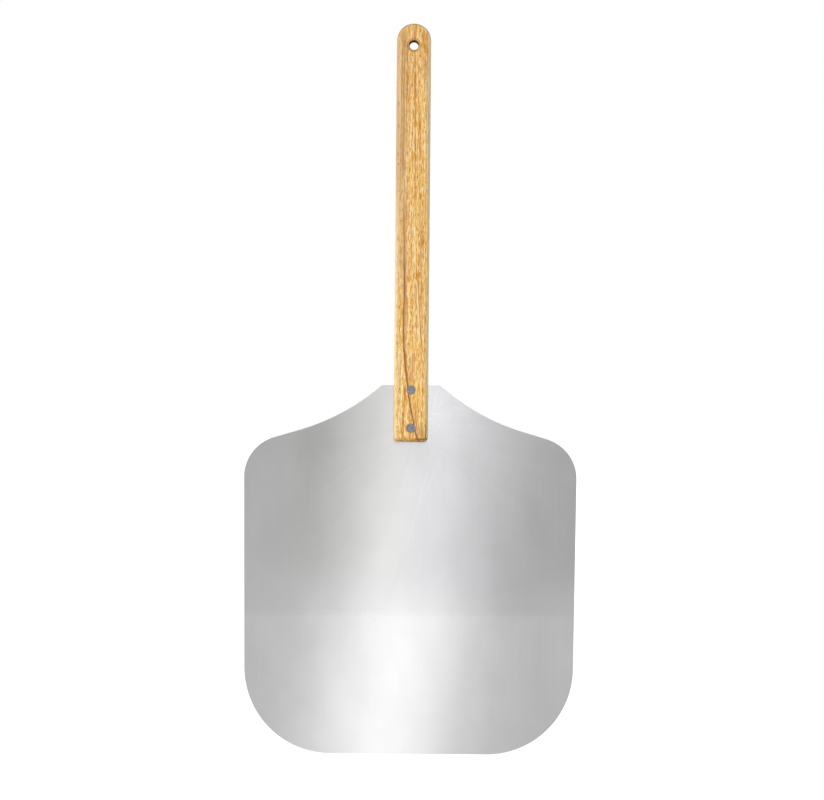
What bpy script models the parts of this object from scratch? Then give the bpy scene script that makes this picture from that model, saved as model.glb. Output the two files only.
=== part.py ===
"""Pizza peel: a thin aluminium blade held in the slot of a hardwood handle by two two-piece rivets.

The peel is modelled as it hangs from its handle, in metres. The origin is the centre of the hanging
hole, halfway through the handle's thickness. +Z runs up the handle, away from the blade. -Y is the
carrying face, whose sheet thins towards the front edge, and +Y is the flat underside.
"""

from math import acos, atan2, ceil, cos, pi, radians, sin, tan

import bmesh
import bpy
from mathutils import Matrix, Vector

MM = 0.001
GAP = 0.3 * MM  # the clearance between two pieces that touch

# Handle: a flat hardwood bar with a half-round upper end.
HANDLE_WIDTH = 31.4 * MM
HANDLE_THICKNESS = 19.0 * MM
HANDLE_TOP_Z = 20.0 * MM
HANDLE_BOTTOM_Z = -363.0 * MM
HANDLE_CORNER_RADIUS = 3.8 * MM  # the two lower corners, seen from the front
HANDLE_EDGE_RADIUS = 2.8 * MM  # the rounding all round both broad faces, under the corner radius
HANDLE_EDGE_SEGMENTS = 4

# Hanging hole: a bore with a countersunk rim on both faces.
HOLE_RADIUS = 4.3 * MM
HOLE_RIM_RADIUS = 6.0 * MM
HOLE_RIM_DEPTH = 1.2 * MM

# Blade: one sheet, widest below its shoulders. Depths are measured down from the tab's top edge.
BLADE_THICKNESS = 1.5 * MM
BLADE_EDGE_THICKNESS = 0.8 * MM  # at the front edge, where the carrying face has thinned
BLADE_TAB_Z = -311.4 * MM  # the tab's top edge
BLADE_LENGTH = 338.3 * MM
TAPER_LENGTH = 128.3 * MM  # from the crease to the front edge
TAB_HALF_WIDTH = 26.6 * MM
TAB_CORNER_RADIUS = 0.8 * MM
SHOULDER_RADIUS = 202.6 * MM  # the long hollow curve from the tab out to the side
SHOULDER_STEEP_SLOPE = radians(41.1)  # beside the tab, below the horizontal
SHOULDER_SHALLOW_SLOPE = radians(16.5)  # where the shoulder meets the rounded corner
SIDE_HALF_WIDTH = 152.5 * MM  # at SIDE_DEPTH
SIDE_DEPTH = 91.8 * MM
SIDE_LEAN = radians(0.55)  # each side leans in towards the front edge
UPPER_CORNER_RADIUS = 37.6 * MM
FRONT_CORNER_RADIUS = 79.2 * MM

# Slot: a saw cut through the handle's full width, open at the lower end.
SLOT_WIDTH = BLADE_THICKNESS + 2 * GAP
SLOT_TOP_Z = BLADE_TAB_Z + 1.4 * MM

# Rivets: each is a tubular sleeve pressed over a solid stud, with a flat head on both faces.
RIVET_HEIGHTS = {"upper": -315.7 * MM, "lower": -350.5 * MM}
RIVET_HEAD_RADIUS = 4.2 * MM
RIVET_HEAD_THICKNESS = 1.5 * MM
RIVET_HEAD_SINK = 0.1 * MM  # how far the head's face lies below the wood
RIVET_CHAMFER = 0.3 * MM
SLEEVE_RADIUS = 2.6 * MM
STUD_RADIUS = 1.6 * MM
SLEEVE_END_Y = 6.5 * MM  # the open end of the tube, short of the stud's head
STUD_TIP_Y = -5.0 * MM  # the blunt tip of the stud, short of the tube's closed end

ARC_TOLERANCE = 0.02 * MM  # the most that a straight step may cut inside an outline's arc
ROUND_STEPS = 48  # facets round a turned piece or a bore
SHARP_ANGLE = radians(30)  # edges that meet at more than this are shaded sharp
FLAT_ANGLE = radians(0.2)  # faces that meet at less than this become one face
MERGE_DISTANCE = 0.00001
CUTTER_OVERRUN = 5.0 * MM  # how far a cutter passes beyond what it cuts

# Linear colour, roughness and metallic value of each material.
MATERIALS = {
    "oiled_hardwood": ((0.62, 0.37, 0.14), 0.55, 0.0),
    "brushed_aluminium": ((0.76, 0.76, 0.76), 0.38, 1.0),
    "rivet_aluminium": ((0.36, 0.37, 0.40), 0.45, 1.0),
}


def clear_scene():
    """Removes every object that the file starts with."""
    for item in list(bpy.data.objects):
        bpy.data.objects.remove(item, do_unlink=True)


def new_collection(name):
    """Makes a collection under the scene's own."""
    collection = bpy.data.collections.new(name)
    bpy.context.scene.collection.children.link(collection)
    return collection


def new_material(name):
    """Makes the named Principled material."""
    colour, roughness, metallic = MATERIALS[name]
    material = bpy.data.materials.new(name)
    material.use_nodes = True
    shader = material.node_tree.nodes["Principled BSDF"]
    shader.inputs["Base Color"].default_value = (*colour, 1.0)
    shader.inputs["Roughness"].default_value = roughness
    shader.inputs["Metallic"].default_value = metallic
    material.diffuse_color = (*colour, 1.0)
    return material


def new_object(name, data, collection):
    """Links a new object that holds the data."""
    item = bpy.data.objects.new(name, data)
    collection.objects.link(item)
    return item


def rounded_outline(corners):
    """Points round a closed outline whose corners, given as (x, z, radius), are rounded by arcs."""
    points = []
    for index, (x, z, radius) in enumerate(corners):
        corner = Vector((x, z))
        back = Vector(corners[index - 1][:2]) - corner
        ahead = Vector(corners[(index + 1) % len(corners)][:2]) - corner
        back.normalize()
        ahead.normalize()
        half_angle = back.angle(ahead) / 2
        centre = corner + (back + ahead).normalized() * radius / sin(half_angle)
        first = corner + back * radius / tan(half_angle) - centre
        turn = (pi - 2 * half_angle) * (1 if back.cross(ahead) < 0 else -1)
        widest_step = 2 * acos(1 - ARC_TOLERANCE / radius)
        steps = ceil(abs(turn) / widest_step)
        for step in range(steps + 1):
            points.append(centre + Matrix.Rotation(turn * step / steps, 2) @ first)
    return points


def as_mesh(drawn, name, collection):
    """Replaces a drawn curve, or a mesh with its modifiers, by one welded mesh in the same place."""
    bpy.context.view_layer.update()
    evaluated = drawn.evaluated_get(bpy.context.evaluated_depsgraph_get())
    mesh = bpy.data.meshes.new_from_object(evaluated)
    mesh.name = name
    shape = bmesh.new()
    shape.from_mesh(mesh)
    bmesh.ops.remove_doubles(shape, verts=shape.verts, dist=MERGE_DISTANCE)
    bmesh.ops.dissolve_limit(shape, angle_limit=FLAT_ANGLE, verts=shape.verts, edges=shape.edges)
    bmesh.ops.recalc_face_normals(shape, faces=shape.faces)
    shape.to_mesh(mesh)
    shape.free()
    mesh.shade_smooth()
    mesh.set_sharp_from_angle(angle=SHARP_ANGLE)
    piece = new_object(name, mesh, collection)
    piece.matrix_world = drawn.matrix_world.copy()
    bpy.data.objects.remove(drawn)
    return piece


def extruded_outline(name, points, thickness, collection):
    """An upright plate, centred on Y = 0, whose outline is a filled 2D curve turned to stand up."""
    curve = bpy.data.curves.new(name, "CURVE")
    curve.dimensions = "2D"
    curve.fill_mode = "BOTH"
    curve.extrude = thickness / 2
    spline = curve.splines.new("POLY")
    spline.points.add(len(points) - 1)
    for point, place in zip(spline.points, points):
        point.co = (place.x, place.y, 0.0, 1.0)
    spline.use_cyclic_u = True
    drawn = new_object(name + "_outline", curve, collection)
    drawn.rotation_euler = (pi / 2, 0.0, 0.0)
    return as_mesh(drawn, name, collection)


def turned_piece(name, profile, collection):
    """A shape turned about Y, from (radius, y) points listed down its outer side from its -Y end."""
    mesh = bpy.data.meshes.new(name + "_profile")
    points = [(radius, 0.0, -y) for radius, y in profile]
    mesh.from_pydata(points, [(i, i + 1) for i in range(len(points) - 1)], [])
    drawn = new_object(name + "_profile", mesh, collection)
    drawn.rotation_euler = (pi / 2, 0.0, 0.0)
    screw = drawn.modifiers.new("Turn", "SCREW")
    screw.steps = ROUND_STEPS
    screw.render_steps = ROUND_STEPS
    screw.use_merge_vertices = True
    screw.merge_threshold = MERGE_DISTANCE
    return as_mesh(drawn, name, collection)


def box_cutter(name, low, high, collection):
    """A box between two corners, as a cutter."""
    size = [b - a for a, b in zip(low, high)]
    middle = [(a + b) / 2 for a, b in zip(low, high)]
    shape = bmesh.new()
    bmesh.ops.create_cube(shape, size=1.0)
    bmesh.ops.scale(shape, vec=size, verts=shape.verts)
    mesh = bpy.data.meshes.new(name)
    shape.to_mesh(mesh)
    shape.free()
    cutter = new_object(name, mesh, collection)
    cutter.location = middle
    return cutter


def cut(piece, cutter):
    """Cuts the cutter out of the piece and hides the cutter."""
    modifier = piece.modifiers.new("Cut " + cutter.name, "BOOLEAN")
    modifier.operation = "DIFFERENCE"
    modifier.solver = "EXACT"
    modifier.object = cutter
    cutter.hide_render = True
    cutter.display_type = "WIRE"


def blade_outline():
    """Points round the blade, from three corners of its +X side and their mirror images."""
    # The steep slope is as long as the two arcs at its ends take up.
    steep = TAB_CORNER_RADIUS * tan(SHOULDER_STEEP_SLOPE / 2)
    steep += SHOULDER_RADIUS * tan((SHOULDER_STEEP_SLOPE - SHOULDER_SHALLOW_SLOPE) / 2)
    shoulder_x = TAB_HALF_WIDTH + steep * cos(SHOULDER_STEEP_SLOPE)
    shoulder_depth = steep * sin(SHOULDER_STEEP_SLOPE)
    # The shoulder's shallow end meets the leaning side at the upper corner.
    rise = tan(SHOULDER_SHALLOW_SLOPE)
    lean = tan(SIDE_LEAN)
    reach = SIDE_HALF_WIDTH + lean * (SIDE_DEPTH - shoulder_depth + rise * shoulder_x)
    upper_x = reach / (1 + lean * rise)
    upper_depth = shoulder_depth + rise * (upper_x - shoulder_x)
    front_x = SIDE_HALF_WIDTH - lean * (BLADE_LENGTH - SIDE_DEPTH)
    right = [
        (TAB_HALF_WIDTH, BLADE_TAB_Z, TAB_CORNER_RADIUS),
        (shoulder_x, BLADE_TAB_Z - shoulder_depth, SHOULDER_RADIUS),
        (upper_x, BLADE_TAB_Z - upper_depth, UPPER_CORNER_RADIUS),
        (front_x, BLADE_TAB_Z - BLADE_LENGTH, FRONT_CORNER_RADIUS),
    ]
    left = [(-x, z, radius) for x, z, radius in reversed(right)]
    return rounded_outline(right + left)


def taper_cutter(collection):
    """A box whose inner face runs from the crease to the front edge of the carrying face."""
    loss = BLADE_THICKNESS - BLADE_EDGE_THICKNESS
    crease_z = BLADE_TAB_Z - BLADE_LENGTH + TAPER_LENGTH
    reach = TAPER_LENGTH + CUTTER_OVERRUN
    cutter = box_cutter(
        "blade_taper_cutter",
        (-SIDE_HALF_WIDTH - CUTTER_OVERRUN, -CUTTER_OVERRUN, -reach),
        (SIDE_HALF_WIDTH + CUTTER_OVERRUN, 0.0, reach / 2),
        collection,
    )
    turn = Matrix.Rotation(atan2(loss, TAPER_LENGTH), 4, "X")
    crease = Matrix.Translation((0.0, -BLADE_THICKNESS / 2, crease_z))
    cutter.matrix_world = crease @ turn @ Matrix.Translation(cutter.location)
    return cutter


def bore_cutter(name, radius, z, half_length, collection):
    """A straight bore along Y at the given height."""
    profile = [(0.0, -half_length), (radius, -half_length), (radius, half_length), (0.0, half_length)]
    cutter = turned_piece(name, profile, collection)
    cutter.location.z = z
    return cutter


def make_blade(parts, cutters):
    """The sheet: its outline, the thinned front and the two rivet holes."""
    blade = extruded_outline("blade", blade_outline(), BLADE_THICKNESS, parts)
    cut(blade, taper_cutter(cutters))
    for place, z in RIVET_HEIGHTS.items():
        name = "blade_" + place + "_hole_cutter"
        cut(blade, bore_cutter(name, SLEEVE_RADIUS + GAP, z, BLADE_THICKNESS, cutters))
    return blade


def handle_outline():
    """Points round the handle: square lower corners eased, upper end a half circle."""
    half = HANDLE_WIDTH / 2
    return rounded_outline([
        (half, HANDLE_TOP_Z, half),
        (half, HANDLE_BOTTOM_Z, HANDLE_CORNER_RADIUS),
        (-half, HANDLE_BOTTOM_Z, HANDLE_CORNER_RADIUS),
        (-half, HANDLE_TOP_Z, half),
    ])


def hanging_hole_cutter(collection):
    """The bore and the countersunk rim on both faces, as one turned shape."""
    face = HANDLE_THICKNESS / 2
    rim_start = face - HOLE_RIM_DEPTH
    slope = (HOLE_RIM_RADIUS - HOLE_RADIUS) / HOLE_RIM_DEPTH
    outside = face + CUTTER_OVERRUN
    outside_radius = HOLE_RIM_RADIUS + slope * CUTTER_OVERRUN
    profile = [
        (0.0, -outside),
        (outside_radius, -outside),
        (HOLE_RADIUS, -rim_start),
        (HOLE_RADIUS, rim_start),
        (outside_radius, outside),
        (0.0, outside),
    ]
    return turned_piece("hanging_hole_cutter", profile, collection)


def rivet_bore_cutter(name, z, collection):
    """One rivet's bore with the flat seats for its two heads."""
    seat_radius = RIVET_HEAD_RADIUS + GAP
    bore_radius = SLEEVE_RADIUS + GAP
    seat_y = HANDLE_THICKNESS / 2 - RIVET_HEAD_SINK - RIVET_HEAD_THICKNESS - GAP
    outside = HANDLE_THICKNESS / 2 + CUTTER_OVERRUN
    profile = [
        (0.0, -outside),
        (seat_radius, -outside),
        (seat_radius, -seat_y),
        (bore_radius, -seat_y),
        (bore_radius, seat_y),
        (seat_radius, seat_y),
        (seat_radius, outside),
        (0.0, outside),
    ]
    cutter = turned_piece(name, profile, collection)
    cutter.location.z = z
    return cutter


def make_handle(parts, cutters):
    """The bar: rounded edges, the slot for the blade, the hanging hole and the rivet bores."""
    handle = extruded_outline("handle", handle_outline(), HANDLE_THICKNESS, parts)
    edges = handle.modifiers.new("Eased edges", "BEVEL")
    edges.width = HANDLE_EDGE_RADIUS
    edges.segments = HANDLE_EDGE_SEGMENTS
    edges.limit_method = "ANGLE"
    edges.angle_limit = radians(60)
    half = HANDLE_WIDTH / 2 + CUTTER_OVERRUN
    slot = box_cutter(
        "handle_slot_cutter",
        (-half, -SLOT_WIDTH / 2, HANDLE_BOTTOM_Z - CUTTER_OVERRUN),
        (half, SLOT_WIDTH / 2, SLOT_TOP_Z),
        cutters,
    )
    cut(handle, slot)
    cut(handle, hanging_hole_cutter(cutters))
    for place, z in RIVET_HEIGHTS.items():
        cut(handle, rivet_bore_cutter("handle_" + place + "_rivet_cutter", z, cutters))
    return handle


def make_sleeve(place, z, parts):
    """The tubular half of a rivet, with its head in the carrying face."""
    face = -HANDLE_THICKNESS / 2 + RIVET_HEAD_SINK
    seat = face + RIVET_HEAD_THICKNESS
    inner = STUD_RADIUS + GAP
    profile = [
        (0.0, face),
        (RIVET_HEAD_RADIUS - RIVET_CHAMFER, face),
        (RIVET_HEAD_RADIUS, face + RIVET_CHAMFER),
        (RIVET_HEAD_RADIUS, seat),
        (SLEEVE_RADIUS, seat),
        (SLEEVE_RADIUS, SLEEVE_END_Y),
        (inner, SLEEVE_END_Y),
        (inner, STUD_TIP_Y - GAP),
        (0.0, STUD_TIP_Y - GAP),
    ]
    sleeve = turned_piece("rivet_" + place + "_sleeve", profile, parts)
    sleeve.location.z = z
    return sleeve


def make_stud(place, z, parts):
    """The solid half of a rivet, with its head in the underside."""
    face = HANDLE_THICKNESS / 2 - RIVET_HEAD_SINK
    seat = face - RIVET_HEAD_THICKNESS
    profile = [
        (0.0, STUD_TIP_Y),
        (STUD_RADIUS - RIVET_CHAMFER, STUD_TIP_Y),
        (STUD_RADIUS, STUD_TIP_Y + RIVET_CHAMFER),
        (STUD_RADIUS, seat),
        (RIVET_HEAD_RADIUS, seat),
        (RIVET_HEAD_RADIUS, face - RIVET_CHAMFER),
        (RIVET_HEAD_RADIUS - RIVET_CHAMFER, face),
        (0.0, face),
    ]
    stud = turned_piece("rivet_" + place + "_stud", profile, parts)
    stud.location.z = z
    return stud


def main():
    clear_scene()
    parts = new_collection("pizza_peel")
    cutters = new_collection("cutters")
    wood = new_material("oiled_hardwood")
    sheet = new_material("brushed_aluminium")
    rivet = new_material("rivet_aluminium")
    finishes = {make_blade(parts, cutters): sheet, make_handle(parts, cutters): wood}
    for place, z in RIVET_HEIGHTS.items():
        finishes[make_sleeve(place, z, parts)] = rivet
        finishes[make_stud(place, z, parts)] = rivet
    hook = new_object("hanging_point", None, parts)
    for piece, material in finishes.items():
        piece.data.materials.append(material)
        piece.parent = hook
    bpy.context.view_layer.update()


main()
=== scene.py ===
"""The looks of the pizza peel: visual pieces, materials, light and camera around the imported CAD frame.

Sizes are in metres, and places are in the row frame: the origin is the centre of the hanging hole, +Z runs
up the handle and -Y is the carrying face. The tables of lines and marks are in millimetres.
"""

from contextlib import contextmanager
from math import acos, atan2, ceil, cos, pi, radians, sin, tan

import bmesh
import bpy
from mathutils import Matrix, Vector


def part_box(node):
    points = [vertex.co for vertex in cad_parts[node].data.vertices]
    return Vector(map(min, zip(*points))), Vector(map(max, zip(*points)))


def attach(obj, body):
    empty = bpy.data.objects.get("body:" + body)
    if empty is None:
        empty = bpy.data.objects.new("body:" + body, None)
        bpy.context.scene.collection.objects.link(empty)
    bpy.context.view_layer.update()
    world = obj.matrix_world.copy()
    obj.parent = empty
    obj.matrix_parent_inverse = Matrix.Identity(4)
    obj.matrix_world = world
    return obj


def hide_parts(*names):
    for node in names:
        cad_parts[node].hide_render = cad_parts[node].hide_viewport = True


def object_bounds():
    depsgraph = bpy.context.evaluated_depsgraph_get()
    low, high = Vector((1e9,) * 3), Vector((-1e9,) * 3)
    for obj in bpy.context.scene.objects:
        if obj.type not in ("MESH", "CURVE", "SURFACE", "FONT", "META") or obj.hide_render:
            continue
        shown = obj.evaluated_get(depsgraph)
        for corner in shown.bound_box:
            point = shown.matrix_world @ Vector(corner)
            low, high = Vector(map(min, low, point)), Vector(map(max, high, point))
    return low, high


MM = 0.001
GAP = 0.3 * MM  # the clearance that the CAD model keeps between its pieces

# Handle, as in the CAD model.
HOLE_RADIUS = 4.3 * MM
HOLE_RIM_RADIUS = 6.0 * MM
HOLE_RIM_DEPTH = 1.2 * MM
HANDLE_CORNER_RADIUS = 3.8 * MM
HANDLE_EDGE_RADIUS = 2.8 * MM
HANDLE_EDGE_SEGMENTS = 6
HANDLE_EDGE_PROFILE = 0.42  # a little flatter than a quarter circle, as a sanded chamfer is
HANDLE_EDGE_ANGLE = radians(60)
SLOT_HEADROOM = 1.4 * MM

# Blade, as in the CAD model. Depths are measured down from the tab's top edge.
BLADE_EDGE_THICKNESS = 0.8 * MM
TAPER_LENGTH = 128.3 * MM
TAB_HALF_WIDTH = 26.6 * MM
TAB_CORNER_RADIUS = 0.8 * MM
SHOULDER_RADIUS = 202.6 * MM
SHOULDER_STEEP_SLOPE = radians(41.1)
SHOULDER_SHALLOW_SLOPE = radians(16.5)
SIDE_HALF_WIDTH = 152.5 * MM
SIDE_DEPTH = 91.8 * MM
SIDE_LEAN = radians(0.55)
UPPER_CORNER_RADIUS = 37.6 * MM
FRONT_CORNER_RADIUS = 79.2 * MM
SHEET_EDGE_RADIUS = 0.18 * MM  # the tumbled edge of the sheared sheet
SHEET_EDGE_SEGMENTS = 3
SHEET_EDGE_PROFILE = 0.5
SHEET_EDGE_ANGLE = radians(50)
ROLLING_LEAN = radians(6.5)  # the sheet's rolling direction, from upright towards +X

# Rivets, as in the CAD model.
RIVET_HEAD_RADIUS = 4.2 * MM
RIVET_HEAD_THICKNESS = 1.5 * MM
RIVET_HEAD_SINK = 0.1 * MM
RIVET_EDGE_RADIUS = 0.25 * MM
RIVET_EDGE_STEPS = 6
SEAT_GAP = 0.06 * MM  # the head is pressed into the wood, so that no gap shows round it
SLEEVE_RADIUS = 2.6 * MM
STUD_RADIUS = 1.6 * MM

ARC_TOLERANCE = 0.002 * MM  # the most that a straight step may cut inside an arc
ROUND_STEPS = 96
MERGE_DISTANCE = 0.002 * MM
SHARP_ANGLE = radians(25)
FLAT_ANGLE = radians(0.05)
CUTTER_OVERRUN = 5.0 * MM

# The wood's growth bands, as stops of a colour ramp. All wood colours are display values from 0 to 255.
GROWTH_BANDS = [
    (0.32, (214, 144, 58)),
    (0.43, (242, 180, 80)),
    (0.52, (252, 198, 96)),
    (0.62, (255, 212, 122)),
    (0.72, (255, 228, 160)),
]
# Its grain, from the longest marks to the shortest: features a metre across and along, and roughness, then
# the start, the full level, the strength and the colour of the dark marks and of the pale ones.
GRAIN_LAYERS = {
    "threads": (1300.0, 7.0, 0.60, (0.52, 0.64, 0.95, (208, 132, 36)), (0.48, 0.35, 0.80, (255, 234, 178))),
    "streaks": (1500.0, 34.0, 0.65, (0.52, 0.66, 0.65, (206, 128, 20)), (0.48, 0.34, 0.60, (255, 238, 190))),
    "flecks": (1500.0, 170.0, 0.60, (0.53, 0.66, 0.90, (202, 124, 16)), (0.47, 0.33, 0.85, (255, 242, 200))),
}
WOOD = {
    "stain": (200, 150, 112),
    "pore": (158, 100, 50),
    "dull side": (206, 164, 116),
    "main vein": (134, 80, 60),
    "beside the vein": (212, 146, 100),
    "brown foot": (190, 132, 80),
    "fine vein": (166, 106, 62),
    "pale streak": (255, 236, 182),
    "sanded": (240, 214, 168),
    # Painted shade on the upper left eased edges, and painted light on the right ones.
    "painted shade upper left": (200, 170, 130),
    "painted light right": (255, 240, 190),
    "edge shadow": (190, 150, 112),
    "grime": (76, 52, 42),
    "dent": (142, 108, 70),
    "rim outline": (150, 92, 66),
    # Scorch, which also stands for painted shade in the bore.
    "scorch_and_shade": (84, 46, 20),
}
# Lines in the wood, as (z, x) points in mm from the lower end up.
MAIN_VEIN = [
    (-363.0, 7.6),
    (-354.0, 4.3),
    (-335.0, 0.4),
    (-321.0, -2.2),
    (-302.0, -4.3),
    (-284.0, -6.3),
    (-265.0, -7.4),
    (-225.0, -6.9),
    (-190.0, -7.3),
    (-150.0, -8.2),
    (-100.0, -8.9),
]
# Fainter lines: points, lowest and highest z that shows and half width, all in mm, and strength.
FINE_VEINS = [
    ([(-300.0, 12.0), (-262.0, 8.3), (-207.0, 5.0)], -285.0, -205.0, 0.8, 0.80),
    ([(-150.0, 2.6), (-65.0, 1.7), (20.0, 0.9)], -150.0, 25.0, 0.8, 0.60),
    ([(-130.0, -9.2), (-60.0, -8.9), (20.0, -8.3)], -130.0, 15.0, 1.3, 0.50),
    ([(-120.0, -7.0), (-60.0, -6.2), (20.0, -5.4)], -120.0, 10.0, 0.6, 0.55),
    ([(-150.0, -11.6), (-60.0, -11.2), (20.0, -10.6)], -150.0, 5.0, 0.6, 0.50),
    ([(-60.0, 9.6), (-20.0, 10.4), (20.0, 10.2)], -55.0, 10.0, 0.6, 0.55),
]
# The pale streak beside the first of them, in the same form.
PALE_STREAK = ([(-280.0, 8.4), (-250.0, 6.4), (-215.0, 4.3)], -278.0, -215.0, 1.0, 0.70)
LINE_FADE = 14.0 * MM  # how far the faint lines take to fade in at each end

# Single scratches on the blade: start and end as (x, z) and half width, all in mm, and strength.
LONG_SCRATCHES = [
    ((21.5, -368.0), (-6.0, -472.0), 1.2, 0.050),
    ((30.0, -372.0), (8.0, -425.0), 1.8, 0.030),
    ((21.5, -368.0), (74.0, -369.0), 0.6, 0.030),
    ((-42.0, -376.0), (-88.0, -416.0), 2.4, 0.025),
    ((-3.0, -462.0), (-22.0, -519.0), 3.0, -0.020),
    ((-9.2, -370.7), (2.3, -377.1), 0.8, 0.035),
    ((24.5, -314.0), (20.5, -338.0), 1.1, 0.080),
    ((25.6, -326.0), (22.4, -337.0), 0.6, -0.050),
    ((27.5, -317.0), (26.0, -334.0), 0.7, 0.050),
    ((18.0, -338.0), (26.5, -337.4), 1.1, 0.110),
    ((15.5, -342.4), (20.5, -342.0), 0.9, 0.130),
    ((16.5, -345.8), (24.0, -344.8), 0.7, 0.080),
    ((28.8, -344.0), (21.6, -354.5), 0.9, 0.090),
    ((22.3, -353.8), (26.6, -347.7), 0.5, -0.050),
    ((34.0, -337.0), (44.0, -332.0), 1.6, 0.030),
    ((38.0, -344.0), (58.0, -334.0), 0.6, 0.026),
    ((48.6, -333.6), (55.8, -345.0), 0.8, 0.030),
    ((54.6, -342.0), (58.0, -362.0), 0.8, 0.024),
    ((17.0, -357.0), (34.0, -354.0), 0.5, -0.030),
    ((30.0, -357.5), (52.0, -358.0), 0.5, -0.020),
]
# Broad patches of painted reflection, a little darker or brighter: centre and half size in mm, and strength.
PAINTED_REFLECTION_PATCHES = [
    ((-142.0, -420.0), (44.0, 150.0), 0.080),
    ((-84.0, -368.0), (30.0, 60.0), -0.110),
    ((-36.0, -440.0), (26.0, 70.0), 0.050),
    # The darker patch below the handle's foot is painted shade.
    ((4.0, -374.0), (42.0, 44.0), -0.070),
    ((-4.0, -500.0), (34.0, 60.0), -0.060),
    ((62.0, -455.0), (24.0, 75.0), 0.045),
    ((80.0, -385.0), (32.0, 70.0), 0.080),
    ((148.0, -560.0), (34.0, 90.0), 0.060),
    ((112.0, -505.0), (30.0, 60.0), -0.040),
    ((-92.0, -430.0), (22.0, 100.0), -0.045),
    ((86.0, -504.0), (36.0, 42.0), -0.055),
    ((114.0, -440.0), (18.0, 42.0), -0.040),
    ((-70.0, -591.0), (34.0, 60.0), 0.055),
    ((36.0, -571.0), (22.0, 46.0), 0.048),
    ((-91.0, -628.0), (30.0, 34.0), 0.050),
    ((-24.0, -470.0), (20.0, 26.0), 0.045),
    ((-148.0, -455.0), (18.0, 80.0), 0.040),
]
# Sets of hairline scratches: turn from upright, spacing and length.
SCRATCH_SETS = [
    (radians(-22), 2.2 * MM, 22.0 * MM),
    (radians(31), 2.6 * MM, 18.0 * MM),
    (radians(78), 3.0 * MM, 16.0 * MM),
    (radians(-64), 2.8 * MM, 20.0 * MM),
]
# Places on the blade: x, and depth below the tab's top edge.
WIPED_FROM = (8.0 * MM, 35.0 * MM)
MOST_RUBBED = (33.0 * MM, 24.0 * MM)

SHEET_COLOUR = (0.68, 0.68, 0.677, 1.0)
GROUND_COLOUR = (0.835, 0.835, 0.835, 1.0)
WHITE = (1.0, 1.0, 1.0, 1.0)

# Camera: a long lens, square on to the carrying face, and rolled a little.
CAMERA_DISTANCE = 2.942
CAMERA_LENS_MM = 140.0
SENSOR_WIDTH_MM = 36.0
CAMERA_REACH = 200.0
CAMERA_X = 0.95 * MM
CAMERA_Z = -324.8 * MM
CAMERA_ROLL = radians(0.5)

# Lights: upright strips in front, behind and at the four corners, and a square one on the left.
LIGHT_Z = -300.0 * MM
STRIP_HEIGHT = 1.8
MIDDLE_STRIP_WIDTH = 0.08
MIDDLE_STRIP_DISTANCE = 1.1
MIDDLE_STRIP_WATTS = 0.8
FRONT_STRIP_X = 23.0 * MM
CORNER_STRIP_WIDTH = 0.22
CORNER_DISTANCE = 0.85  # along X and along Y
CORNER_WATTS = {"left": 3.0, "right": 2.0}
SHEEN_DISTANCE = 0.90
SHEEN_WATTS = 1.2  # the part of each corner light that the metal may mirror; more would burn it out
KEY_PLACE = (-1.8, -1.2, 0.1)
KEY_SIZE = 1.2
KEY_WATTS = 18.0

# World: its strength level with the peel, and what is added towards each side.
WORLD_STRENGTH = 0.545
WORLD_RIGHT = -0.16
WORLD_UP = 0.12
WORLD_BEHIND = 0.12

FLOOR_DROP = 0.20  # how far the floor lies below the blade's front edge
FLOOR_HALF_SIZE = 40.0
FLOOR_GLOW = 0.7

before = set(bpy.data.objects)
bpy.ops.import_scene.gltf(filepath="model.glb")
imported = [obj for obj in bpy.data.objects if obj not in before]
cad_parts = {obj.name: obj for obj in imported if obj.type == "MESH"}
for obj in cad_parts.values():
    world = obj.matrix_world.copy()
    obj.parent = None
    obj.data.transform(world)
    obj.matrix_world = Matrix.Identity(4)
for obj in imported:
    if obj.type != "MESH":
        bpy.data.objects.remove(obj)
cad_low, cad_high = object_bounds()
blade_low, blade_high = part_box("blade")
handle_low, handle_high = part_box("handle")
BLADE_THICKNESS = blade_high.y - blade_low.y
BLADE_LENGTH = blade_high.z - blade_low.z
HANDLE_HALF_WIDTH = (handle_high.x - handle_low.x) / 2
HANDLE_THICKNESS = handle_high.y - handle_low.y
CREASE_Z = blade_low.z + TAPER_LENGTH


# ---------------------------------------------------------------- mesh helpers


def new_object(name, data):
    item = bpy.data.objects.new(name, data)
    bpy.context.scene.collection.objects.link(item)
    return item


@contextmanager
def edited(mesh):
    """The mesh, open for editing, and written back afterwards."""
    shape = bmesh.new()
    shape.from_mesh(mesh)
    yield shape
    shape.to_mesh(mesh)
    shape.free()


def as_mesh(drawn, name):
    """Replaces a drawn object by one welded mesh of what its modifiers make, already in place."""
    bpy.context.view_layer.update()
    evaluated = drawn.evaluated_get(bpy.context.evaluated_depsgraph_get())
    mesh = bpy.data.meshes.new_from_object(evaluated)
    mesh.name = name
    mesh.transform(drawn.matrix_world)
    with edited(mesh) as shape:
        bmesh.ops.remove_doubles(shape, verts=shape.verts, dist=MERGE_DISTANCE)
        bmesh.ops.recalc_face_normals(shape, faces=shape.faces)
    bpy.data.objects.remove(drawn)
    return new_object(name, mesh)


def join_flat_faces(piece):
    """Makes one face of each flat area."""
    with edited(piece.data) as shape:
        bmesh.ops.dissolve_limit(shape, angle_limit=FLAT_ANGLE, verts=shape.verts, edges=shape.edges)


def divide(piece, heights):
    """Divides the faces along X = 0 and along each height, so that no later hole lies inside one face."""
    planes = [((0.0, 0.0, 0.0), (1.0, 0.0, 0.0))]
    planes += [((0.0, 0.0, z), (0.0, 0.0, 1.0)) for z in heights]
    with edited(piece.data) as shape:
        for place, normal in planes:
            everything = [*shape.verts, *shape.edges, *shape.faces]
            bmesh.ops.bisect_plane(shape, geom=everything, plane_co=place, plane_no=normal)


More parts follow.
